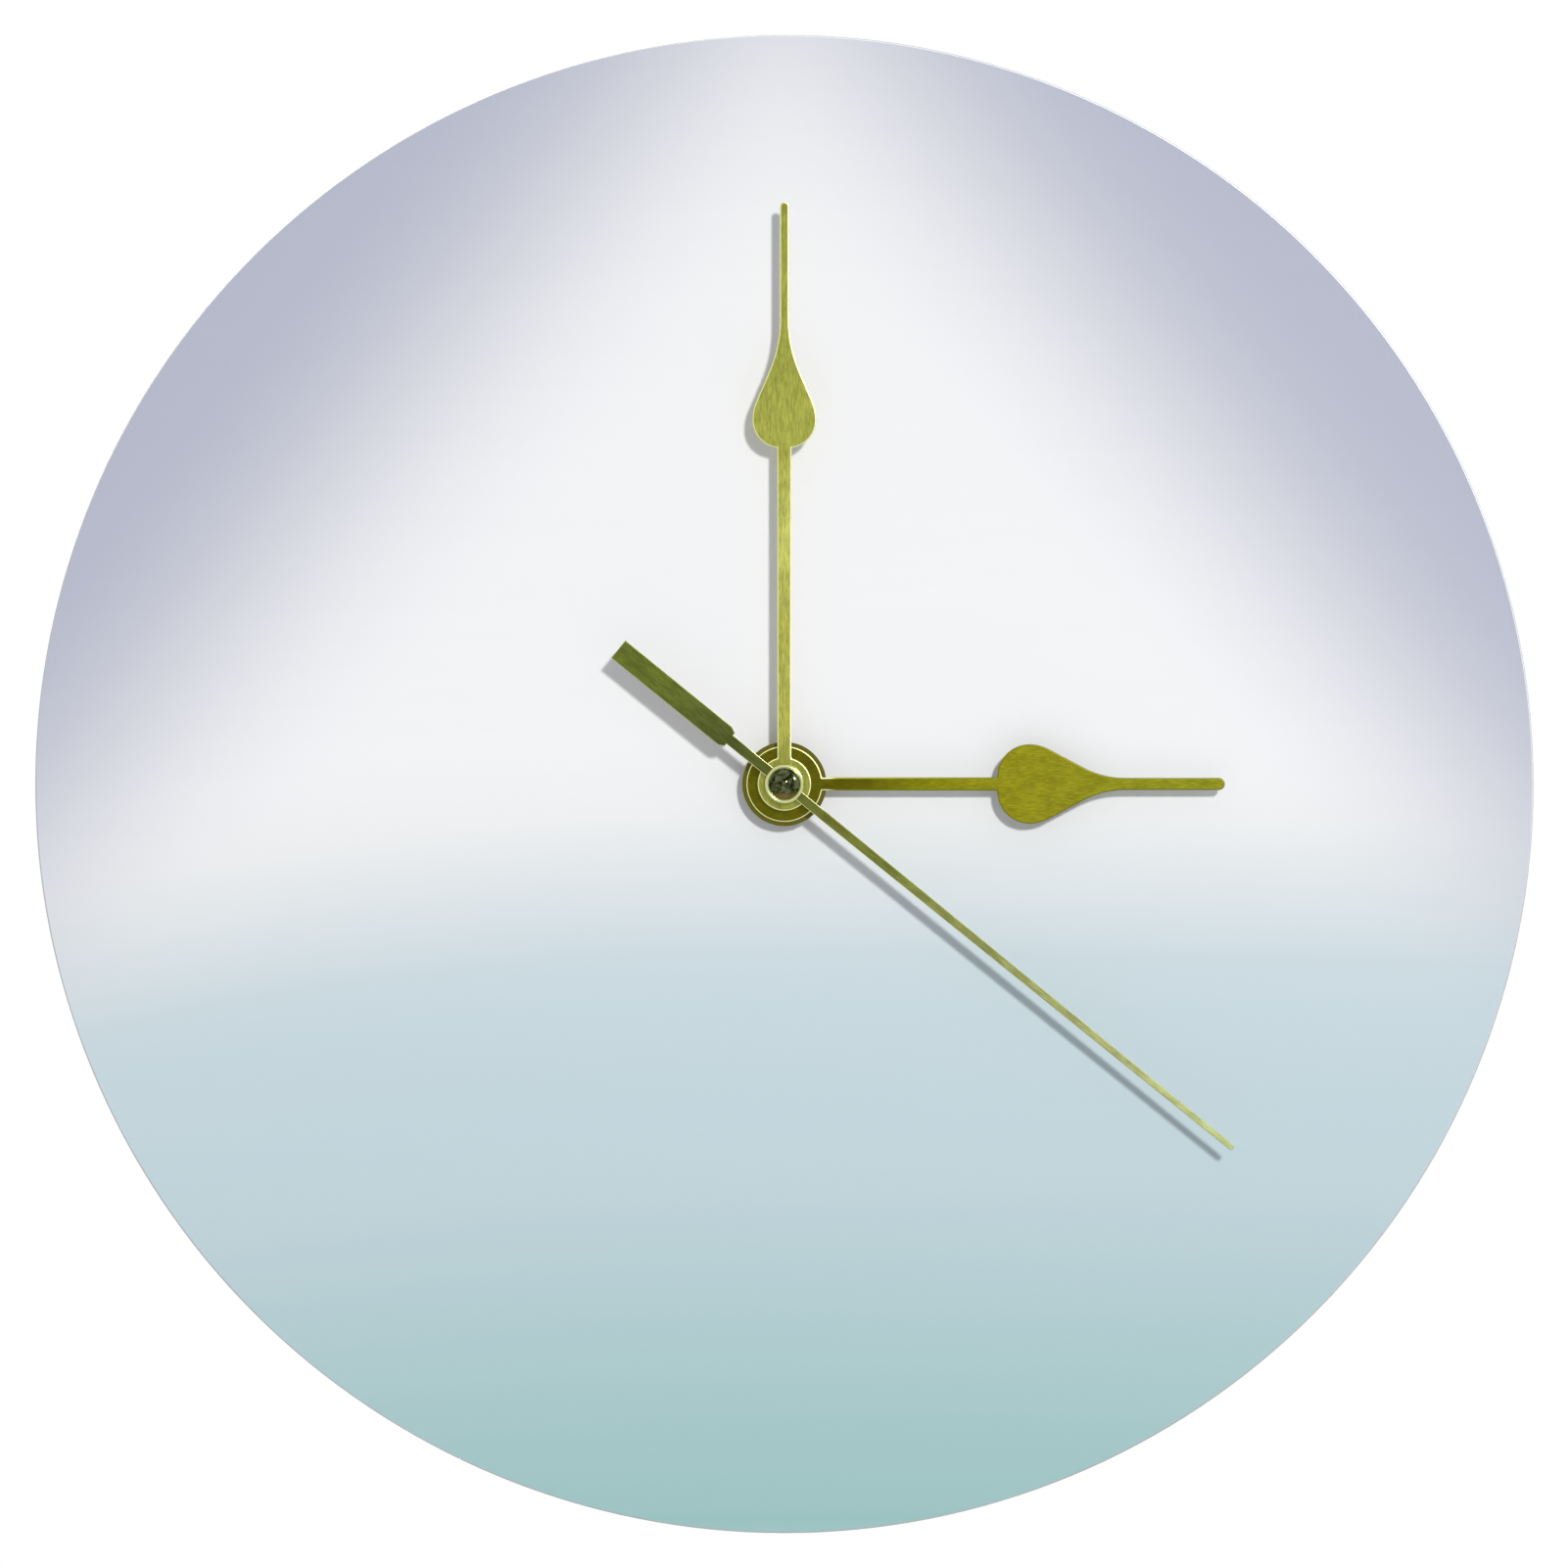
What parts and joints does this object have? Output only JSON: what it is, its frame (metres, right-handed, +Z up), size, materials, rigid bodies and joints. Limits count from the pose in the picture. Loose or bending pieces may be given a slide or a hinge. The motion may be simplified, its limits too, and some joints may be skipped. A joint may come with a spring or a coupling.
{
  "type": "wall clock",
  "caption": "Round frameless wall clock: bare printed metal disc, brushed brass spade hands, counterweighted seconds hand and a battery quartz movement with a keyhole hanger behind.",
  "frame": {"origin": "where the axis of the hands meets the wall, on the rear face of the movement's case", "axes": "+Z up, +Y into the wall, the dial faces -Y; twelve o'clock is +Z and three o'clock is +X"},
  "size_m": [0.28, 0.0312, 0.28],
  "materials": {
    "printed_aluminium": "flat sheet with a smooth printed coat",
    "hour_brass": "lacquered, brushed along the hand",
    "minute_brass": "lacquered, brushed along the hand",
    "second_brass": "lacquered, fine brushed",
    "turned_brass": "turned, satin",
    "polished_cap": "polished",
    "clamp_brass": "machined",
    "zinc_steel": "zinc plated sheet",
    "black_rubber": "matt",
    "black_plastic": "moulded, fine spark texture",
    "knob_plastic": "moulded, satin",
    "white_acetal": "moulded, satin",
    "bobbin_plastic": "moulded",
    "enamelled_wire": "varnished copper wire",
    "soft_iron": "stamped, dull",
    "ferrite": "sintered, matt",
    "steel_arbor": "ground",
    "board_resin": "paper laminate",
    "crystal_can": "drawn can",
    "chip_resin": "drop of black resin",
    "nickel_strip": "nickel plated strip",
    "cell_sleeve": "printed sleeve, satin"
  },
  "bodies": {
    "case": {"dial_disc": "printed_aluminium", "hanger_bracket": "zinc_steel", "rubber_gasket": "black_rubber", "dial_washer": "clamp_brass", "hex_nut": "clamp_brass", "centre_bushing": "clamp_brass", "case_front": "black_plastic", "case_back": "black_plastic", "gear_bridge": "white_acetal", "coil_bobbin": "bobbin_plastic", "coil_winding": "enamelled_wire", "coil_core": "soft_iron", "stator_plate": "soft_iron", "circuit_board": "board_resin", "quartz_crystal": "crystal_can", "timing_chip": "chip_resin", "contact_positive": "nickel_strip", "contact_negative": "nickel_strip"},
    "minute_hand": {"minute_hand": "minute_brass", "minute_collet": "turned_brass", "minute_pipe": "white_acetal"},
    "hour_hand": {"hour_hand": "hour_brass", "hour_collet": "turned_brass", "hour_wheel": "white_acetal"},
    "minute_wheel": {"minute_wheel": "white_acetal", "setting_knob": "knob_plastic"},
    "second_hand": {"second_hand": "second_brass", "second_tube": "turned_brass", "second_cap": "polished_cap", "second_wheel": "white_acetal", "second_arbor": "steel_arbor"},
    "fifth_wheel": {"fifth_wheel": "white_acetal"},
    "rotor": {"rotor_magnet": "ferrite", "rotor_pinion": "white_acetal"},
    "third_wheel": {"third_wheel": "white_acetal"},
    "centre_wheel": {"centre_wheel": "white_acetal"},
    "battery": {"battery_cell": "cell_sleeve"}
  },
  "joints": [
    {"name": "minute_hand_turn", "type": "hinge", "parent": "case", "child": "minute_hand", "pos_m": [0, 0, 0], "axis": [0, 1, 0], "continuous": true},
    {"name": "hour_hand_turn", "type": "hinge", "parent": "case", "child": "hour_hand", "pos_m": [0, 0, 0], "axis": [0, 1, 0], "continuous": true},
    {"name": "setting_knob_turn", "type": "hinge", "parent": "case", "child": "minute_wheel", "pos_m": [-0.00835, 0, 0], "axis": [0, 1, 0], "continuous": true},
    {"name": "second_hand_turn", "type": "hinge", "parent": "case", "child": "second_hand", "pos_m": [0, 0, 0], "axis": [0, 1, 0], "continuous": true},
    {"name": "fifth_wheel_turn", "type": "hinge", "parent": "case", "child": "fifth_wheel", "pos_m": [0.00436, 0, 0.00623], "axis": [0, 1, 0], "continuous": true},
    {"name": "rotor_turn", "type": "hinge", "parent": "case", "child": "rotor", "pos_m": [0.00436, 0, 0.01223], "axis": [0, 1, 0], "continuous": true},
    {"name": "third_wheel_turn", "type": "hinge", "parent": "case", "child": "third_wheel", "pos_m": [0.00714, 0, -0.0026], "axis": [0, 1, 0], "continuous": true},
    {"name": "centre_wheel_turn", "type": "hinge", "parent": "case", "child": "centre_wheel", "pos_m": [0, 0, 0], "axis": [0, 1, 0], "continuous": true},
    {"name": "battery_slide", "type": "slide", "parent": "case", "child": "battery", "axis": [0, 1, 0], "range_m": [0, 0.025]}
  ],
  "couplings": [
    {"joint": "hour_hand_turn", "follows": "minute_hand_turn", "ratio": 0.083333},
    {"joint": "setting_knob_turn", "follows": "minute_hand_turn", "ratio": -0.33333},
    {"joint": "fifth_wheel_turn", "follows": "second_hand_turn", "ratio": -6},
    {"joint": "rotor_turn", "follows": "second_hand_turn", "ratio": 30},
    {"joint": "third_wheel_turn", "follows": "second_hand_turn", "ratio": -0.13333},
    {"joint": "centre_wheel_turn", "follows": "second_hand_turn", "ratio": 0.016667}
  ]
}
